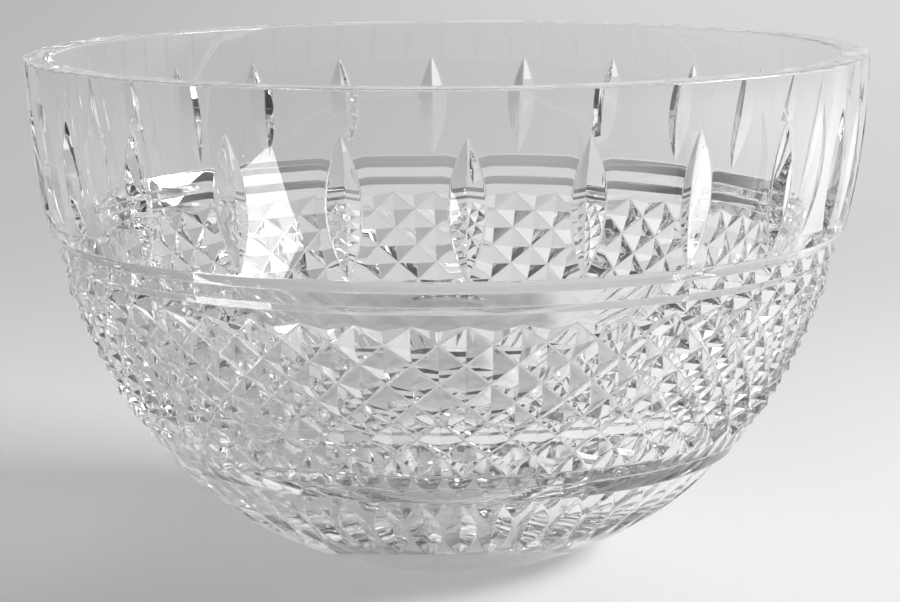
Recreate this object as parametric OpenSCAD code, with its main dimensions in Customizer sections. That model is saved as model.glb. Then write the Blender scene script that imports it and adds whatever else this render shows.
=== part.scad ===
// Cut crystal trifle bowl: one glass body in seven zones that meet face to face.
// The bowl stands on z = 0 with its axis on Z, and the first wedge cut faces -Y.

/* [Bowl] */
// Outside diameter at the rim
rim_d = 230; // [218:1:244]
// Height from the table to the top of the rim
bowl_h = 139; // [135:1:145]
// Diameter of the ground foot
foot_d = 64; // [54:1:74]
// Thickness of the wall at the lip
wall_t = 8; // [7:0.5:10]
// Angle by which the inside leans in more than the outside
wall_taper_a = 2.2; // [0:0.1:3]
// Thickness of the glass under the inside floor
floor_t = 10; // [8:0.5:14]
// Radius of the upright arc of the upper wall
wall_arc_r = 194; // [178:1:224]
// Height of that arc, down from the rim
wall_arc_h = 83.5; // [80:0.5:87.5]

/* [Rim] */
// Height of the rim zone
rim_h = 6; // [4:0.5:9]
// Rounding of the lip's two edges
lip_r = 0.75; // [0.5:0.25:3.25]

/* [Olive cuts] */
// Number of wedge cuts around the upper wall
olive_n = 24; // [12:1:26]
// Length of a cut along the wall
olive_len = 35.5; // [28:0.5:36.5]
// Width of a cut
olive_w = 9.2; // [7:0.2:12]
// Depth of a cut
olive_depth = 2.6; // [2:0.1:3.6]
// Height of the middle of a cut
olive_z = 110; // [109.5:0.1:112]

/* [Rings] */
// Angle between each side of a ring's wedge and the wall
ring_side_a = 33; // [28:1:40]
// Depth of the collar's rings
collar_depth = 2.7; // [2.1:0.1:3]
// Height of the collar's upper ring
collar_z = 88; // [86.8:0.2:88.6]
// Drop from the collar's upper ring to its lower ring
collar_pitch = 5.5; // [4.7:0.2:6.5]
// Depth of the belt's rings
belt_depth = 2; // [1.7:0.1:2.5]
// Height of the belt's upper ring
belt_z = 37; // [36.4:0.2:38]
// Drop from the belt's upper ring to its lower ring
belt_pitch = 4.1; // [3.5:0.1:4.6]

/* [Diamonds] */
// Number of diamonds around
diamond_n = 48; // [32:2:52]
// Number of rows
diamond_rows = 4; // [3:1:5]
// Depth of the grooves between the diamonds
diamond_depth = 2.6; // [1.8:0.1:3]
// Depth at which the grooves run out into the rings, as a share of their depth
run_out_share = 0.45; // [0.3:0.05:0.6]
// Height of a row as a share of the row above it
row_share = 0.985; // [0.97:0.005:0.995]

/* [Flutes] */
// Number of flutes around
flute_n = 48; // [32:2:50]
// Length of a flute along the wall
flute_len = 27.5; // [22:0.5:28]
// Width of a flute
flute_w = 8.8; // [6:0.2:9]
// Depth of a flute
flute_depth = 2.2; // [1.6:0.1:2.6]
// Height of the middle of a flute
flute_z = 20.3; // [19.9:0.1:20.8]

/* [Foot] */
// Height of the base zone's edge on the wall
base_z = 10.2; // [9:0.2:11]
// Width of the ground ring that the bowl stands on
foot_ring_w = 9; // [6:0.5:12]
// Depth of the hollow inside that ring
foot_hollow = 1.2; // [0.6:0.1:2]

/* [View] */
// Zone to show

/* [Hidden] */
$fn = 180;
glass = [0.86, 0.91, 0.93, 0.6];
rim_r = rim_d / 2;
foot_r = foot_d / 2;

// The wall arc ends at join_z. The belly arc is tangent to it there and ends at the foot's edge.
join_z = bowl_h - wall_arc_h;
join_a = asin(wall_arc_h / wall_arc_r);
wall_cx = rim_r - wall_arc_r;
join_r = wall_cx + wall_arc_r * cos(join_a);
to_foot = [foot_r - join_r, -join_z];
belly_r = (to_foot * to_foot) / (2 * (to_foot * [-cos(join_a), sin(join_a)]));
belly_cx = join_r - belly_r * cos(join_a);
belly_cz = join_z + belly_r * sin(join_a);

// Slope of the outer wall from upright at height z, and its radius there.
function wall_a(z) = z > join_z ? asin((bowl_h - z) / wall_arc_r) : asin((belly_cz - z) / belly_r);
function wall_r(z) =
    z > join_z
        ? wall_cx + wall_arc_r * cos(wall_a(z))
        : belly_cx + belly_r * cos(wall_a(z));
function on_wall(z) = [wall_r(z), z];
function inward(z) = [-cos(wall_a(z)), sin(wall_a(z))];
function along(z) = [sin(wall_a(z)), cos(wall_a(z))];
function at_depth(z, depth) = on_wall(z) + depth * inward(z);

// The inside starts at wall_t below the lip's rounding, leans in by the taper,
// and one tangent arc runs on from it to a small flat floor.
lip_z = bowl_h - lip_r;
lip_out = wall_r(lip_z);
inner_wall_r = wall_arc_r - wall_t;
inner_lip_a = wall_a(lip_z) + wall_taper_a;
inner_join_a = join_a + wall_taper_a;
inner_wall_cx = lip_out - wall_t - inner_wall_r * cos(inner_lip_a);
inner_wall_cz = lip_z + inner_wall_r * sin(inner_lip_a);
inner_join = [
    inner_wall_cx + inner_wall_r * cos(inner_join_a),
    inner_wall_cz - inner_wall_r * sin(inner_join_a)
];
inner_r = (inner_join[1] - floor_t) / (1 - sin(inner_join_a));
inner_cx = inner_join[0] - inner_r * cos(inner_join_a);

// Reach of the cutting outlines past the outer and the inner surface.
reach = wall_t / 2;
inner_reach = wall_t + floor_t;
// Height and swing of a cutting wheel's edge, over those of the cut that it leaves.
edge_share = 1.4;
swing_share = 1.3;
// How far the drum's ring sides run on past the ring's bottom, over the side's own length.
past_share = 0.3;

// The zones meet in the bottoms of the ring cuts.
collar_low_z = collar_z - collar_pitch;
belt_low_z = belt_z - belt_pitch;
rim_z = bowl_h - rim_h;

// Height on the uncut wall of the point d deep on a ring's side, above (1) or below (-1) its bottom.
function side_z(z, depth, d, side) = z + side * (depth - d) / tan(ring_side_a) * cos(wall_a(z));
function side_point(z, depth, d, side) = at_depth(side_z(z, depth, d, side), d);

// Rows of the diamond lattice, from the collar's lower ring down to the belt's upper ring.
half_rows = 2 * diamond_rows;
run_out = run_out_share * diamond_depth;
rows_top_z = side_z(collar_low_z, collar_depth, run_out, -1);
rows_low_z = side_z(belt_z, belt_depth, run_out, 1);
rows_h = rows_top_z - rows_low_z;
function row_z(k) = rows_top_z - rows_h * (1 - pow(row_share, k)) / (1 - pow(row_share, half_rows));

// Depth at which the end of a diamond meets a ring's side, with its rows at heights z and next_z.
function end_depth(z, next_z) =
    let (row_len = abs(z - next_z) / cos(wall_a(z)))
        run_out * diamond_depth / (diamond_depth + row_len * tan(ring_side_a));
top_end = end_depth(rows_top_z, row_z(1));
low_end = end_depth(rows_low_z, row_z(half_rows - 1));

module outer_2d() {
    intersection() {
        translate([wall_cx, bowl_h]) circle(r = wall_arc_r);
        translate([0, join_z]) square([rim_d, wall_arc_h]);
    }
    intersection() {
        translate([belly_cx, belly_cz]) circle(r = belly_r);
        square([rim_d, join_z]);
    }
}

module inner_2d() {
    below_join = inner_join[1] - floor_t;
    intersection() {
        translate([inner_wall_cx, inner_wall_cz]) circle(r = inner_wall_r);
        translate([0, inner_join[1]]) square([rim_d, bowl_h]);
    }
    intersection() {
        translate([inner_cx, floor_t + inner_r]) circle(r = inner_r);
        translate([inner_cx, floor_t]) square([rim_d, below_join]);
    }
    translate([0, floor_t]) square([inner_cx, below_join]);
}

// The span between two lines square to the wall, at heights low and top on the outside.
module span_2d(low, top) {
    polygon([
        at_depth(low, -reach),
        at_depth(low, inner_reach),
        at_depth(top, inner_reach),
        at_depth(top, -reach)
    ]);
}

// The wall's section in that span.
module zone_2d(low, top) {
    intersection() {
        difference() {
            outer_2d();
            inner_2d();
        }
        span_2d(low, top);
    }
}

// Wedge of a ring cut, square to the wall at height z.
module ring_wedge_2d(z, depth) {
    tip = at_depth(z, depth);
    half_w = depth / tan(ring_side_a);
    past = 1 + reach / depth;
    polygon([
        tip,
        tip + past * (on_wall(z) + half_w * along(z) - tip),
        tip + past * (on_wall(z) - half_w * along(z) - tip)
    ]);
}

// Edge of a cutting wheel that leaves a pointed oval of the given length, width and depth at height z.
module wheel_cut(z, len, width, depth, surface_r) {
    wheel_r = 1 / (8 * depth / pow(len, 2) - 1 / surface_r);
    edge_h = edge_share * depth;
    edge_w = edge_share * width / 2;
    sweep = swing_share * 2 * asin(len / 2 / wheel_r);
    centre = at_depth(z, depth - wheel_r);
    translate([0, -centre[0], centre[1]])
        rotate([wall_a(z), 0, 0])
            rotate([0, 90, 0])
                rotate([0, 0, 90 - sweep / 2])
                    rotate_extrude(angle = sweep)
                        polygon([[wheel_r - edge_h, -edge_w], [wheel_r, 0], [wheel_r - edge_h, edge_w]]);
}

module ring_of(count, first = 0, step = 1) {
    for (i = [first:step:count - 1])
        rotate([0, 0, i * 360 / count]) children();
}

// A point past the bottom of a ring, in line with its side above (1) or below (-1) the bottom.
function past_bottom(z, depth, side) =
    let (bottom = at_depth(z, depth))
        bottom + past_share * (bottom - side_point(z, depth, 0, side));

// The faceted drum that carries the diamonds and the ring sides that they run out into.
module diamond_drum() {
    columns = 2 * diamond_n;
    top = past_bottom(collar_low_z, collar_depth, -1);
    low = past_bottom(belt_z, belt_depth, 1);
    top_z = collar_low_z + inner_reach;
    low_z = belt_z - inner_reach;
    function groove(k, j) = (k + j) % 2 == 0;
    function lattice(k, j) =
        k == 0 ? side_point(collar_low_z, collar_depth, groove(k, j) ? run_out : top_end, -1) :
        k == half_rows ? side_point(belt_z, belt_depth, groove(k, j) ? run_out : low_end, 1) :
        at_depth(row_z(k), groove(k, j) ? diamond_depth : 0);
    function turned(p, j) = [p[0] * sin(j * 360 / columns), -p[0] * cos(j * 360 / columns), p[1]];
    function ring(p) = [for (j = [0:columns - 1]) turned(p, j)];
    points = concat(
        ring([top[0], top_z]),
        ring(top),
        [for (k = [0:half_rows]) for (j = [0:columns - 1]) turned(lattice(k, j), j)],
        ring(low),
        ring([low[0], low_z]),
        [[0, 0, top_z], [0, 0, low_z]]
    );
    last = half_rows + 4;
    function id(i, j) = i * columns + j % columns;
    top_id = (last + 1) * columns;
    sides = [
        for (i = [0:last - 1]) for (j = [0:columns - 1])
            each (i + j) % 2 == 0
                ? [[id(i, j), id(i, j + 1), id(i + 1, j + 1)], [id(i, j), id(i + 1, j + 1), id(i + 1, j)]]
                : [[id(i, j), id(i, j + 1), id(i + 1, j)], [id(i, j + 1), id(i + 1, j + 1), id(i + 1, j)]]
    ];
    caps = [
        for (j = [0:columns - 1])
            each [[top_id, id(0, j + 1), id(0, j)], [top_id + 1, id(last, j), id(last, j + 1)]]
    ];
    polyhedron(points = points, faces = concat(sides, caps), convexity = 10);
}

module rim() {
    color(glass) rotate_extrude() {
        intersection() {
            zone_2d(rim_z, bowl_h);
            square([rim_d, lip_z]);
        }
        translate([lip_out - lip_r, lip_z]) circle(r = lip_r);
        translate([lip_out - wall_t + lip_r, lip_z]) circle(r = lip_r);
        translate([lip_out - wall_t + lip_r, lip_z - lip_r]) square([wall_t - 2 * lip_r, 2 * lip_r]);
    }
}

module olive_wall() {
    color(glass) difference() {
        rotate_extrude() difference() {
            zone_2d(collar_z, rim_z);
            ring_wedge_2d(collar_z, collar_depth);
        }
        ring_of(olive_n) wheel_cut(olive_z, olive_len, olive_w, olive_depth, wall_arc_r);
    }
}

module collar() {
    color(glass) rotate_extrude() difference() {
        zone_2d(collar_low_z, collar_z);
        ring_wedge_2d(collar_z, collar_depth);
        ring_wedge_2d(collar_low_z, collar_depth);
    }
}

module diamond_band() {
    color(glass) intersection() {
        diamond_drum();
        rotate_extrude() difference() {
            span_2d(belt_z, collar_low_z);
            inner_2d();
        }
    }
}

module belt() {
    color(glass) rotate_extrude() difference() {
        zone_2d(belt_low_z, belt_z);
        ring_wedge_2d(belt_z, belt_depth);
        ring_wedge_2d(belt_low_z, belt_depth);
    }
}

module flute_band() {
    color(glass) difference() {
        difference() {
            rotate_extrude() difference() {
                zone_2d(base_z, belt_low_z);
                ring_wedge_2d(belt_low_z, belt_depth);
            }
            ring_of(flute_n, 0, 2) wheel_cut(flute_z, flute_len, flute_w, flute_depth, belly_r);
        }
        ring_of(flute_n, 1, 2) wheel_cut(flute_z, flute_len, flute_w, flute_depth, belly_r);
    }
}

module base() {
    hollow_r = foot_r - foot_ring_w;
    hollow_sphere_r = (pow(hollow_r, 2) + pow(foot_hollow, 2)) / (2 * foot_hollow);
    color(glass) rotate_extrude() difference() {
        intersection() {
            difference() {
                outer_2d();
                inner_2d();
            }
            polygon([
                [0, 0],
                [rim_r, 0],
                at_depth(base_z, -reach),
                at_depth(base_z, inner_reach),
                [0, base_z + inner_reach]
            ]);
        }
        translate([0, foot_hollow - hollow_sphere_r]) circle(r = hollow_sphere_r);
    }
}

rim();
olive_wall();
collar();
diamond_band();
belt();
flute_band();
base();
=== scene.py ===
import math

import bmesh
import bpy
import numpy as np
from mathutils import Matrix


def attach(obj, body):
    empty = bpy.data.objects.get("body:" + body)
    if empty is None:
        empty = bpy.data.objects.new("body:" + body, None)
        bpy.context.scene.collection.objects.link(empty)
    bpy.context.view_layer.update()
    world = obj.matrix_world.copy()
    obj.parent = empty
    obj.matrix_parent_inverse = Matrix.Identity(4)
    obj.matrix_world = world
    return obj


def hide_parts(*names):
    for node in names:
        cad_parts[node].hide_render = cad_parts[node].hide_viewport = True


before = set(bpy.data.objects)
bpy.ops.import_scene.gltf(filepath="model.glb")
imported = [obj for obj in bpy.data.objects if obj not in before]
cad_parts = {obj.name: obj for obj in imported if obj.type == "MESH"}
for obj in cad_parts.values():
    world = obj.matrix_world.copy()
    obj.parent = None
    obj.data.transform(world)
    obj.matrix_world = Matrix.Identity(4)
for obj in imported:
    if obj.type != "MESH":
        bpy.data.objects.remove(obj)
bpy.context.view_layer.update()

# Driving sizes of the bowl in millimetres and degrees, the same as the CAD part's.
RIM_R, BOWL_H, FOOT_R = 115.0, 139.0, 32.0
WALL_T, WALL_TAPER, FLOOR_T = 8.0, math.radians(2.2), 10.0
WALL_ARC_R, WALL_ARC_H = 194.0, 83.5
LIP_R = 0.75
OLIVE_LEN, OLIVE_W, OLIVE_DEPTH, OLIVE_Z = 35.5, 9.2, 2.6, 110.0
RING_SLOPE = math.tan(math.radians(33))
COLLAR_DEPTH, COLLAR_Z, COLLAR_PITCH = 2.7, 88.0, 5.5
BELT_DEPTH, BELT_Z, BELT_PITCH = 2.0, 37.0, 4.1
DIAMOND_N, DIAMOND_ROWS, DIAMOND_DEPTH = 48, 4, 2.6
RUN_OUT, ROW_SHARE = 0.45 * DIAMOND_DEPTH, 0.985
FLUTE_LEN, FLUTE_W, FLUTE_DEPTH, FLUTE_Z = 27.5, 8.8, 2.2, 20.3
FOOT_RING_W, FOOT_HOLLOW = 9.0, 1.2
# Polished edges: the rounding of a cut's border, of a wedge's bottom and of the diamonds' edges.
EDGE_SOFT, TIP_SOFT, GROOVE_SOFT, RIDGE_SOFT = 0.2, 0.16, 0.36, 0.1
# How far the rounding of a border reaches to each side of it.
EDGE_REACH = EDGE_SOFT / RING_SLOPE
NO_CUT = -50.0
MM = 0.001

# Mesh: columns in half a sector, then the spacing of rows, near a cut's pointed ends and elsewhere.
STEPS = 7
ROW_GAP, ROW_LEAST = 3.0, 0.06
TIP_STEPS = (-0.3, 0, 0.4, 1.0, 1.9, 3.2)
FLOOR_ARC_ROWS, WALL_ARC_ROWS, HOLLOW_ROWS = 15, 9, 6
LIP_ANGLES = np.radians([160, 137, 113, 90]), np.radians([90, 67, 43, 20])
# Radius of the small face at the axis, and the soft edges of the foot ring and of its hollow.
AXIS_R, FOOT_EDGE, FOOT_EDGE_Z, HOLLOW_EDGE = 0.4, 0.35, 0.25, 0.3
# Least angle between facets that counts as an edge, in radians.
EDGE_ANGLE = 0.05
# Marks on the diamonds' faces.
FACET, ROUNDED = 1, 2
# Segments across a rounded groove and across a rounded ridge, and the roundness of both.
GROOVE_STEPS, RIDGE_STEPS, ROUND_PROFILE = 3, 2, 0.5
# Where columns gather: shares of a cut's half width, then of the reach of its border.
CLOSE_SHARE, TIP_SHARE, MID_INNER, MID_CUT = 0.4, 0.3, 0.5, 0.1
BORDER_ROOM, OUTER_ROOM = 0.6, 0.3
# Least half width that columns follow, and how far past a cut's ends they do so.
LEAST_HALF_W, END_MARGIN = 0.3, 0.4
# Rounds of solving for a cut's depth and its width, the largest sine of its half angle, and the step
# that a normal is measured over.
DEPTH_ROUNDS, WIDTH_ROUNDS, LARGEST_SINE, NORMAL_STEP = 3, 6, 0.2, 0.01
# A stored normal shorter than this is not one.
LEAST_NORMAL = 0.5

# Glass. The scales are in features a metre, the height in metres and the haze in roughness.
GLASS_IOR, GLASS_COLOUR, GLASS_BOUNCES = 1.55, (0.98, 0.98, 0.98, 1), 48
WAVE_SCALE, WAVE_DETAIL, WAVE_HEIGHT = 38.0, 1.0, 0.00008
HAZE_SCALE, HAZE_DETAIL, HAZE_SPAN, HAZE = 210.0, 3.0, (0.55, 0.8), 0.02
# Table, in metres and linear greys: the paper from left to right, with painted light and shade that make it
# lighter on the left, where the bowl's shadow falls, and darker on the right, nearest the key; and the
# backdrop it turns into.
TABLE_Z, TABLE_HALF = -0.0003, 8.0
PAINTED_FLOOR_LIGHT_X, PAINTED_FLOOR_LIGHT = (-0.25, 0.15), (0.98, 0.78)
# The backdrop glows with painted light: darker on the left and lighter on the right, as the key's light
# would fall.
FAR_Y, PAINTED_BACK_LIGHT_X, PAINTED_BACK_LIGHT = (0.1, 0.8), (-0.55, 0.55), (0.47, 0.7)
# The paper's own light, which the camera sees directly and in the glass.
PAPER_GLOW = 0.29
PAPER_ROUGH = 0.7
GRAIN_SCALE, GRAIN_DETAIL, GRAIN_HEIGHT, GRAIN_BUMP, GRAIN_GREY = 900.0, 3.0, 0.0001, 0.1, (0.985, 1.015)
# Key light, in metres and watts.
KEY_AT, KEY_SIZE, KEY_POWER = (1.0, -0.175, 0.625), (0.65, 0.30), 13.5
# Greys of the room: left and right, each low and high, each front and rear.
ROOM_X, ROOM_Y, ROOM_Z = (-0.7, 0.7), (-0.4, 0.5), (0.1, 0.6)
ROOM = (((0.0, 0.28), (0.04, 0.0)), ((0.0, 1.05), (0.0, 0.18)))
# Camera, fitted to the photo, in metres, degrees and millimetres of film.
CAM_D, CAM_H, CAM_TILT, CAM_TURN, CAM_ROLL = 0.780, 0.20147, 9.627, -2.4, -0.38
CAM_LENS, CAM_SENSOR, CAM_SHIFT = 113.82, 36, 0.0022

# The wall arc and the belly arc that is tangent to it and ends at the foot's edge.
JOIN_A = math.asin(WALL_ARC_H / WALL_ARC_R)
JOIN_Z = BOWL_H - WALL_ARC_H
WALL_CX = RIM_R - WALL_ARC_R
JOIN_R = WALL_CX + WALL_ARC_R * math.cos(JOIN_A)
TO_FOOT = (FOOT_R - JOIN_R, -JOIN_Z)
BELLY_R = (TO_FOOT[0] ** 2 + TO_FOOT[1] ** 2) / (
    2 * (-TO_FOOT[0] * math.cos(JOIN_A) + TO_FOOT[1] * math.sin(JOIN_A)))
BELLY_CX = JOIN_R - BELLY_R * math.cos(JOIN_A)
BELLY_CZ = JOIN_Z + BELLY_R * math.sin(JOIN_A)
JOIN_S = WALL_ARC_R * JOIN_A


def blank(s):
    """Radius, height and slope of the uncut outside, at arc length s down from the rim's top."""
    upper = s < JOIN_S
    a = np.where(upper, s / WALL_ARC_R, JOIN_A + (s - JOIN_S) / BELLY_R)
    r = np.where(upper, WALL_CX + WALL_ARC_R * np.cos(a), BELLY_CX + BELLY_R * np.cos(a))
    z = np.where(upper, BOWL_H - WALL_ARC_R * np.sin(a), BELLY_CZ - BELLY_R * np.sin(a))
    return r, z, a


def blank_at(s):
    return (float(v) for v in blank(np.array(s)))


def s_at(z):
    """Arc length down to the height z on the uncut outside."""
    if z > JOIN_Z:
        return WALL_ARC_R * math.asin((BOWL_H - z) / WALL_ARC_R)
    return JOIN_S + BELLY_R * (math.asin((BELLY_CZ - z) / BELLY_R) - JOIN_A)


def round_abs(x, reach=TIP_SOFT):
    """The size of x, with its kink at 0 rounded off."""
    size = np.abs(x)
    return np.where(size < reach, x * x / (2 * reach) + reach / 2, size)


def round_max(a, b, reach=EDGE_SOFT):
    """The larger of a and b, with the kink where they cross rounded off."""
    near = np.clip(1 - np.abs(a - b) / reach, 0, 1)
    return np.maximum(a, b) + near * near * reach / 4


RINGS = [(s_at(COLLAR_Z), COLLAR_DEPTH), (s_at(COLLAR_Z - COLLAR_PITCH), COLLAR_DEPTH),
         (s_at(BELT_Z), BELT_DEPTH), (s_at(BELT_Z - BELT_PITCH), BELT_DEPTH)]


def ring_depth(s):
    d = np.full_like(s, NO_CUT)
    for at, depth in RINGS:
        d = round_max(d, depth - round_abs(s - at) * RING_SLOPE)
    return d


class Wheel:
    """A wedge-edged wheel that leaves a pointed oval cut."""

    def __init__(self, z, length, width, depth, surface_r):
        self.mid = s_at(z)
        self.radius = 1 / (8 * depth / length ** 2 - 1 / surface_r)
        self.slope = width / 2 / depth
        r, z, a = blank_at(self.mid)
        self.r = r + (self.radius - depth) * math.cos(a)
        self.z = z - (self.radius - depth) * math.sin(a)
        self.ends = self.mid - length / 2, self.mid + length / 2

    def gap(self, r, z, turn):
        across = r * np.sin(turn)
        out = np.hypot(r * np.cos(turn) - self.r, z - self.z)
        return out + round_abs(across) / self.slope - self.radius

    def depth(self, s, turn):
        """How far the cut goes below the blank, square to it: negative outside the cut."""
        r, z, a = blank(s)
        t = -self.gap(r, z, turn)
        for _ in range(DEPTH_ROUNDS):
            t = t - self.gap(r - t * np.cos(a), z + t * np.sin(a), turn)
        return t

    def half_width(self, s):
        """Half the cut's width at s."""
        r, z, _ = blank_at(s)
        turn = 0.0
        for _ in range(WIDTH_ROUNDS):
            out = math.hypot(r * math.cos(turn) - self.r, z - self.z)
            turn = math.asin(min(max(self.slope * (self.radius - out) / r, 0), LARGEST_SINE))
        return turn * r

    def crosses(self, s):
        return self.ends[0] - END_MARGIN < s < self.ends[1] + END_MARGIN


OLIVE = Wheel(OLIVE_Z, OLIVE_LEN, OLIVE_W, OLIVE_DEPTH, WALL_ARC_R)
FLUTE = Wheel(FLUTE_Z, FLUTE_LEN, FLUTE_W, FLUTE_DEPTH, BELLY_R)
SECTOR = 2 * math.pi / DIAMOND_N
HALF = SECTOR / 2
COLS = DIAMOND_N * 2 * STEPS


def cut_depth(s, theta):
    """Depth of all the wheel and ring cuts at arc length s and angle theta from the front."""
    sector = np.round(theta / SECTOR)
    turn = theta - sector * SECTOR
    olive = np.where((sector % 2 == 0) & (s < RINGS[0][0]), OLIVE.depth(s, turn), NO_CUT)
    flute = round_max(FLUTE.depth(s, turn), FLUTE.depth(s, SECTOR - np.abs(turn)))
    flute = np.where(s > RINGS[3][0], flute, NO_CUT)
    return round_max(round_max(ring_depth(s), round_max(olive, flute)), 0.0)


def surface(s, theta):
    """Points on the cut outside, at arc length s and angle theta from the front."""
    r, z, a = blank(s)
    d = cut_depth(s, theta)
    r, z = r - d * np.cos(a), z + d * np.sin(a)
    return np.stack([r * np.sin(theta), -r * np.cos(theta), z], -1)


def surface_normal(s, theta):
    turn = NORMAL_STEP / RIM_R
    down = surface(s + NORMAL_STEP, theta) - surface(s - NORMAL_STEP, theta)
    side = surface(s, theta + turn) - surface(s, theta - turn)
    n = np.cross(down, side)
    return n / np.linalg.norm(n, axis=-1, keepdims=True)


def half_columns(w, rim):
    """Distances from a cut's middle line out to half way to the next one, close together at its border."""
    close = min(EDGE_REACH, CLOSE_SHARE * w)
    border = min(w, rim - BORDER_ROOM * EDGE_REACH)
    outer = min(w + EDGE_REACH, rim - OUTER_ROOM * EDGE_REACH)
    inner = min(w - close, rim - EDGE_REACH)
    middle = MID_INNER * inner + MID_CUT * w
    return np.array([0, min(TIP_SOFT, TIP_SHARE * w), middle, inner, border, outer, (outer + rim) / 2, rim])


def column_angles(s):
    """Angles of one row's columns. They gather along the borders of the cut that the row crosses."""
    even = np.arange(STEPS + 1) / STEPS * HALF
    r, _, _ = blank_at(s)
    rows = []
    for sector in range(DIAMOND_N):
        wheel = None
        if OLIVE.crosses(s) and sector % 2 == 0:
            wheel = OLIVE
        if FLUTE.crosses(s):
            wheel = FLUTE
        half = half_columns(max(wheel.half_width(s), LEAST_HALF_W), HALF * r) / r if wheel else even
        rows.append(sector * SECTOR + np.concatenate([-half[:0:-1], half[:-1]]))
    return np.concatenate(rows)


def spread(marks):
    """Row positions at the marks, with rows between them where they lie far apart."""
    at = sorted(marks)
    rows = [at[0]]
    for a in at[1:]:
        if a - rows[-1] > ROW_LEAST:
            parts = math.ceil((a - rows[-1]) / ROW_GAP)
            rows += list(rows[-1] + (a - rows[-1]) * np.arange(1, parts + 1) / parts)
    return rows


def around(at, *reach):
    return [at] + [at + d for d in reach] + [at - d for d in reach]


def ring_edge(ring, side):
    return ring[0] + side * ring[1] / RING_SLOPE


def tip_rows(end, side):
    """Rows that close in on the pointed end of a wheel cut, which runs on towards side."""
    return [end + side * d for d in TIP_STEPS]


def row_z(k):
    """Height of the diamond lattice's half row k."""
    return ROWS_TOP_Z - (ROWS_TOP_Z - ROWS_LOW_Z) * (1 - ROW_SHARE ** k) / (1 - ROW_SHARE ** HALF_ROWS)


def run_out_z(ring, side):
    """Height at which a ring's side is as deep as the grooves' ends, as the CAD part works it out."""
    _, z, a = blank_at(ring[0])
    return z + side * (ring[1] - RUN_OUT) / RING_SLOPE * math.cos(a)


HALF_ROWS = 2 * DIAMOND_ROWS
ROWS_TOP_Z, ROWS_LOW_Z = run_out_z(RINGS[1], -1), run_out_z(RINGS[2], 1)
ROW_S = [s_at(row_z(k)) for k in range(HALF_ROWS + 1)]

# Outside rows from the lip to the diamonds, and from the diamonds to the foot.
lip_z = BOWL_H - LIP_R
ridges = [(RINGS[0][0] + RINGS[1][0]) / 2, (RINGS[2][0] + RINGS[3][0]) / 2]
upper_rows = spread(
    [s_at(lip_z)] + tip_rows(OLIVE.ends[0], 1) + tip_rows(OLIVE.ends[1], -1)
    + around(ring_edge(RINGS[0], -1), EDGE_REACH) + around(RINGS[0][0], TIP_SOFT)
    + around(ridges[0], EDGE_REACH / 2) + around(RINGS[1][0], TIP_SOFT))
lower_rows = spread(
    around(RINGS[2][0], TIP_SOFT) + around(ridges[1], EDGE_REACH / 2) + around(RINGS[3][0], TIP_SOFT)
    + around(ring_edge(RINGS[3], 1), EDGE_REACH) + tip_rows(FLUTE.ends[0], 1) + tip_rows(FLUTE.ends[1], -1)
    + [s_at(FOOT_EDGE_Z)])
even_cols = column_angles(0.0)
offset = np.abs(np.round(even_cols / SECTOR) * SECTOR - even_cols) / HALF
top_edge = ROW_S[0] + RUN_OUT * offset / (DIAMOND_DEPTH / (ROW_S[1] - ROW_S[0]) + RING_SLOPE)
low_edge = ROW_S[-1] - RUN_OUT * offset / (DIAMOND_DEPTH / (ROW_S[-1] - ROW_S[-2]) + RING_SLOPE)

points, normals, rows = [], [], []


def add_row(p, n):
    rows.append(sum(len(x) for x in points) + np.arange(len(p)))
    points.append(p)
    normals.append(n)


def lathe_row(r, z, nr, nz):
    ring = np.stack([np.sin(even_cols), -np.cos(even_cols)], -1)
    add_row(np.column_stack([r * ring, np.full(COLS, z)]),
            np.column_stack([nr * ring, np.full(COLS, nz)]))


def arc_rows(cx, cz, radius, angles, side=1):
    """Lathe rows on an arc, at the given angles. side -1 is the hollow side of the glass."""
    for a in angles:
        c, s = math.cos(a), math.sin(a)
        lathe_row(cx + radius * c, cz + radius * s, side * c, side * s)


def outside_row(s, theta):
    s = np.broadcast_to(np.asarray(s, float), theta.shape)
    add_row(surface(s, theta), surface_normal(s, theta))


# Inside, from the floor to the lip: a floor arc, then the wall arc that leans in by the taper.
lip_out, _, lip_a = blank_at(s_at(lip_z))
inner_wall_r = WALL_ARC_R - WALL_T
inner_lip_a, inner_join_a = lip_a + WALL_TAPER, JOIN_A + WALL_TAPER
inner_wall_cx = lip_out - WALL_T - inner_wall_r * math.cos(inner_lip_a)
inner_wall_cz = lip_z + inner_wall_r * math.sin(inner_lip_a)
inner_join = (inner_wall_cx + inner_wall_r * math.cos(inner_join_a),
              inner_wall_cz - inner_wall_r * math.sin(inner_join_a))
inner_r = (inner_join[1] - FLOOR_T) / (1 - math.sin(inner_join_a))
inner_cx = inner_join[0] - inner_r * math.cos(inner_join_a)
lathe_row(AXIS_R, FLOOR_T, 0, 1)
arc_rows(inner_cx, FLOOR_T + inner_r, inner_r, np.linspace(-math.pi / 2, -inner_join_a, FLOOR_ARC_ROWS), -1)
arc_rows(inner_wall_cx, inner_wall_cz, inner_wall_r,
         np.linspace(-inner_join_a, -inner_lip_a, WALL_ARC_ROWS)[1:], -1)
arc_rows(lip_out - WALL_T + LIP_R, lip_z, LIP_R, LIP_ANGLES[0])
arc_rows(lip_out - LIP_R, lip_z, LIP_R, LIP_ANGLES[1])
for s in upper_rows:
    outside_row(s, column_angles(s))
outside_row(top_edge, even_cols)
upper_count = len(rows)
outside_row(low_edge, even_cols)
for s in lower_rows:
    outside_row(s, column_angles(s))

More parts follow.
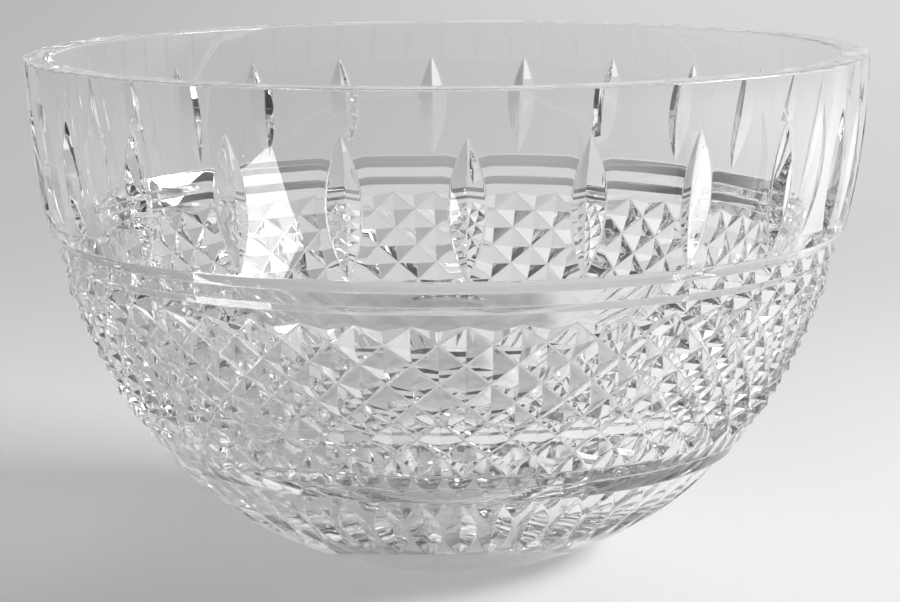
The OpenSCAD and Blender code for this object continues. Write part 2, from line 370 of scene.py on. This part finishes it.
# Foot: a ground ring and a shallow hollow inside it.
hollow_r = FOOT_R - FOOT_RING_W
hollow_sphere = (hollow_r ** 2 + FOOT_HOLLOW ** 2) / (2 * FOOT_HOLLOW)
lathe_row(FOOT_R - FOOT_EDGE, 0, 0, -1)
lathe_row(hollow_r + HOLLOW_EDGE, 0, 0, -1)
for r in np.linspace(hollow_r - HOLLOW_EDGE, AXIS_R, HOLLOW_ROWS):
    lift = math.asin(r / hollow_sphere)
    lathe_row(r, FOOT_HOLLOW - hollow_sphere * (1 - math.cos(lift)), -math.sin(lift), -math.cos(lift))

# The diamonds between the two wavy edges.
columns = 2 * DIAMOND_N
lattice = {}
lattice_points = []
base_id = sum(len(x) for x in points)
for k in range(1, HALF_ROWS):
    r, z, a = blank_at(ROW_S[k])
    for j in range(columns):
        d = DIAMOND_DEPTH if (k + j) % 2 == 0 else 0.0
        t = j * HALF
        lattice[k, j] = base_id + len(lattice_points)
        lattice_points.append([(r - d * math.cos(a)) * math.sin(t), -(r - d * math.cos(a)) * math.cos(t),
                               z + d * math.sin(a)])
points.append(np.array(lattice_points))
normals.append(np.zeros((len(lattice_points), 3)))

smooth_faces, flat_faces = [], []
for i in range(len(rows) - 1):
    if i == upper_count - 1:
        continue
    a, b = rows[i], rows[i + 1]
    smooth_faces += np.stack([a, b, np.roll(b, -1), np.roll(a, -1)], -1).tolist()
smooth_faces.append(rows[0].tolist())
smooth_faces.append(rows[-1].tolist()[::-1])
top_row, low_row = rows[upper_count - 1], rows[upper_count]
for m in range(DIAMOND_N):
    b = 2 * m
    mid = (2 * m + 1) * STEPS
    right, left = (b + 1) % columns, (b - 1) % columns
    peak, deep_r, deep_l = (lattice[1, c] for c in (b, right, left))
    to_right = [top_row[(mid + i) % COLS] for i in range(STEPS + 1)]
    to_left = [top_row[(mid - i) % COLS] for i in range(STEPS + 1)]
    flat_faces += [[peak, deep_r, to_right[0]], [deep_r] + to_right[::-1],
                   [deep_l, peak, to_right[0]], [deep_l] + to_left]
    peak, deep_r, deep_l = (lattice[HALF_ROWS - 1, c] for c in (b, right, left))
    to_right = [low_row[(mid + i) % COLS] for i in range(STEPS + 1)]
    to_left = [low_row[(mid - i) % COLS] for i in range(STEPS + 1)]
    flat_faces += [[peak, to_right[0], deep_r], [deep_r] + to_right,
                   [deep_l, to_right[0], peak], [deep_l] + to_left[::-1]]
for k in range(1, HALF_ROWS - 1):
    for j in range(columns):
        jr = (j + 1) % columns
        tl, tr, bl, br = lattice[k, j], lattice[k, jr], lattice[k + 1, j], lattice[k + 1, jr]
        if (k + j) % 2 == 0:
            flat_faces += [[tl, bl, br], [tl, br, tr]]
        else:
            flat_faces += [[tl, bl, tr], [tr, bl, br]]

co = np.concatenate(points) * MM
no = np.concatenate(normals)
bm = bmesh.new()
keep = bm.verts.layers.float_vector.new("set_normal")
flat = bm.faces.layers.int.new("flat")
verts = [bm.verts.new(p) for p in co]
for v, n in zip(verts, no):
    v[keep] = n
for f in smooth_faces:
    bm.faces.new([verts[i] for i in f])
for f in flat_faces:
    bm.faces.new([verts[i] for i in f])[flat] = FACET
bm.normal_update()


def round_edges(edges, offset, steps):
    """Round off edges of the diamonds, and mark the faces that this makes."""
    made = bmesh.ops.bevel(bm, geom=edges, offset=offset * MM, offset_type="OFFSET", segments=steps,
                           profile=ROUND_PROFILE, affect="EDGES", clamp_overlap=False)
    for f in made["faces"]:
        f[flat] = ROUNDED
    bm.normal_update()


# First the groove bottoms, then every other edge of a facet.
grooves = [e for e in bm.edges if all(f[flat] == FACET for f in e.link_faces)
           and e.calc_face_angle(0) > EDGE_ANGLE and not e.is_convex]
round_edges(grooves, GROOVE_SOFT, GROOVE_STEPS)
ridges_left = [e for e in bm.edges if any(f[flat] == FACET for f in e.link_faces)
               and not any(f[flat] == ROUNDED for f in e.link_faces) and e.calc_face_angle(0) > EDGE_ANGLE]
round_edges(ridges_left, RIDGE_SOFT, RIDGE_STEPS)


def corner_normal(f, v):
    """A facet keeps its own normal, and a rounded edge runs from one facet's normal to the other's."""
    if f[flat] == FACET:
        return f.normal
    if f[flat] == ROUNDED:
        facets = [g.normal for g in v.link_faces if g[flat] == FACET]
        return facets[0] if len(facets) == 1 else v.normal
    return v[keep].normalized() if v[keep].length > LEAST_NORMAL else f.normal


mesh = bpy.data.meshes.new("bowl_glass")
corner_normals = []
for f in bm.faces:
    f.smooth = True
    corner_normals += [tuple(corner_normal(f, c.vert)) for c in f.loops]
bm.to_mesh(mesh)
bm.free()
mesh.normals_split_custom_set(corner_normals)
bowl = bpy.data.objects.new("bowl_glass", mesh)
bpy.context.collection.objects.link(bowl)


def add_node(tree, kind, **inputs):
    """A new node with its inputs set, or linked where an output is given. i0 names the first input."""
    node = tree.nodes.new(kind)
    for key, value in inputs.items():
        by_number = key[0] == "i" and key[1:].isdigit()
        socket = node.inputs[int(key[1:]) if by_number else key.replace("_", " ")]
        if isinstance(value, bpy.types.NodeSocket):
            tree.links.new(value, socket)
        else:
            socket.default_value = value
    return node


def math_node(tree, operation, *values):
    """The result of one operation on the values."""
    node = add_node(tree, "ShaderNodeMath", **{f"i{i}": value for i, value in enumerate(values)})
    node.operation = operation
    return node.outputs["Value"]


def fade(tree, value, span, low, high, kind="SMOOTHSTEP"):
    """A level that goes from low to high while value crosses the span."""
    node = add_node(tree, "ShaderNodeMapRange", Value=value, From_Min=span[0], From_Max=span[1],
                    To_Min=low, To_Max=high)
    node.interpolation_type = kind
    return node.outputs["Result"]


# Crystal: clear glass, with the slight waves and the faint haze of a hand polish.
crystal = bpy.data.materials.new("crystal")
crystal.use_nodes = True
nt = crystal.node_tree
glass = nt.nodes["Principled BSDF"]
glass.inputs["Transmission Weight"].default_value = 1.0
glass.inputs["IOR"].default_value = GLASS_IOR
glass.inputs["Base Color"].default_value = GLASS_COLOUR
coords = add_node(nt, "ShaderNodeTexCoord").outputs["Object"]
waves = add_node(nt, "ShaderNodeTexNoise", Vector=coords, Scale=WAVE_SCALE, Detail=WAVE_DETAIL)
polish = add_node(nt, "ShaderNodeBump", Height=waves.outputs["Fac"], Strength=1.0, Distance=WAVE_HEIGHT)
nt.links.new(polish.outputs["Normal"], glass.inputs["Normal"])
smear = add_node(nt, "ShaderNodeTexNoise", Vector=coords, Scale=HAZE_SCALE, Detail=HAZE_DETAIL)
nt.links.new(fade(nt, smear.outputs["Fac"], HAZE_SPAN, 0.0, HAZE, "LINEAR"), glass.inputs["Roughness"])
mesh.materials.append(crystal)
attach(bowl, "root")
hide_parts("rim", "olive_wall", "collar", "diamond_band", "belt", "flute_band", "base")

# Table: pale paper, just clear of the foot so that the two faces do not share a plane.
table = bpy.data.meshes.new("floor")
corners = ((-1, -1), (1, -1), (1, 1), (-1, 1))
table.from_pydata([(x * TABLE_HALF, y * TABLE_HALF, TABLE_Z) for x, y in corners], [], [(0, 1, 2, 3)])
floor = bpy.data.objects.new("floor", table)
bpy.context.collection.objects.link(floor)
paper = bpy.data.materials.new("paper")
paper.use_nodes = True
ft = paper.node_tree
sheet = ft.nodes["Principled BSDF"]
sheet.inputs["Roughness"].default_value = PAPER_ROUGH
place = add_node(ft, "ShaderNodeTexCoord").outputs["Object"]
axis = add_node(ft, "ShaderNodeSeparateXYZ", Vector=place).outputs
grain = add_node(ft, "ShaderNodeTexNoise", Vector=place, Scale=GRAIN_SCALE, Detail=GRAIN_DETAIL)
fleck = fade(ft, grain.outputs["Fac"], (0.0, 1.0), *GRAIN_GREY, "LINEAR")
# Painted light and shade: the paper is lighter on the left, in the bowl's shadow, and darker on the right,
# nearest the key. The grain's flecks are the paper's own.
painted_light_and_grain = math_node(ft, "MULTIPLY", fade(ft, axis["X"], PAINTED_FLOOR_LIGHT_X, *PAINTED_FLOOR_LIGHT), fleck)
ft.links.new(painted_light_and_grain, sheet.inputs["Base Color"])
# The paper's own light shows to the camera, directly and through the glass.
path = add_node(ft, "ShaderNodeLightPath").outputs
seen = math_node(ft, "MAXIMUM", path["Is Camera Ray"],
                 math_node(ft, "MAXIMUM", path["Is Glossy Ray"], path["Is Transmission Ray"]))
ft.links.new(math_node(ft, "MULTIPLY", seen, PAPER_GLOW), sheet.inputs["Emission Strength"])
tooth = add_node(ft, "ShaderNodeBump", Height=grain.outputs["Fac"], Strength=GRAIN_BUMP,
                 Distance=GRAIN_HEIGHT)
ft.links.new(tooth.outputs["Normal"], sheet.inputs["Normal"])
# Far from the bowl the paper turns into a backdrop that glows with painted light, darker on the left and
# lighter on the right, as the key at the right would light it.
backdrop = add_node(ft, "ShaderNodeEmission", Color=fade(ft, axis["X"], PAINTED_BACK_LIGHT_X, *PAINTED_BACK_LIGHT))
paper_mix = add_node(ft, "ShaderNodeMixShader", i0=fade(ft, axis["Y"], FAR_Y, 0.0, 1.0),
                     i1=sheet.outputs["BSDF"], i2=backdrop.outputs["Emission"])
ft.links.new(paper_mix.outputs["Shader"], ft.nodes["Material Output"].inputs["Surface"])
table.materials.append(paper)

# Key: one large soft light at the right, which faces the bowl.
lamp = bpy.data.lights.new("key", "AREA")
lamp.shape = "RECTANGLE"
lamp.size, lamp.size_y = KEY_SIZE
lamp.energy = KEY_POWER
key = bpy.data.objects.new("key", lamp)
bpy.context.collection.objects.link(key)
key.location = KEY_AT
key.rotation_euler = (-key.location).to_track_quat("-Z", "Y").to_euler()

# Room: a studio whose grey runs smoothly between its eight corners.
world = bpy.data.worlds.new("room")
bpy.context.scene.world = world
world.use_nodes = True
wt = world.node_tree
toward = add_node(wt, "ShaderNodeTexCoord").outputs["Generated"]
way = add_node(wt, "ShaderNodeSeparateXYZ", Vector=toward).outputs
walls = []
for side in ROOM:
    heights = [fade(wt, way["Y"], ROOM_Y, *pair) for pair in side]
    walls.append(fade(wt, way["Z"], ROOM_Z, *heights))
wt.links.new(fade(wt, way["X"], ROOM_X, *walls), wt.nodes["Background"].inputs["Color"])

# Light passes through many facets of the glass before it is lost.
cycles = bpy.context.scene.cycles
cycles.max_bounces = cycles.transmission_bounces = cycles.transparent_max_bounces = GLASS_BOUNCES
cycles.glossy_bounces = GLASS_BOUNCES // 2
cycles.caustics_refractive = cycles.caustics_reflective = True

# Camera.
cam = bpy.data.objects.new("camera", bpy.data.cameras.new("camera"))
bpy.context.collection.objects.link(cam)
turn = math.radians(CAM_TURN)
cam.location = (CAM_D * math.sin(turn), -CAM_D * math.cos(turn), CAM_H)
cam.rotation_euler = (Matrix.Rotation(turn, 3, "Z") @ Matrix.Rotation(math.radians(90 - CAM_TILT), 3, "X")
                      @ Matrix.Rotation(math.radians(CAM_ROLL), 3, "Z")).to_euler()
cam.data.lens, cam.data.sensor_width, cam.data.shift_x = CAM_LENS, CAM_SENSOR, CAM_SHIFT
bpy.context.scene.camera = cam
bpy.context.scene.view_settings.view_transform = "Standard"
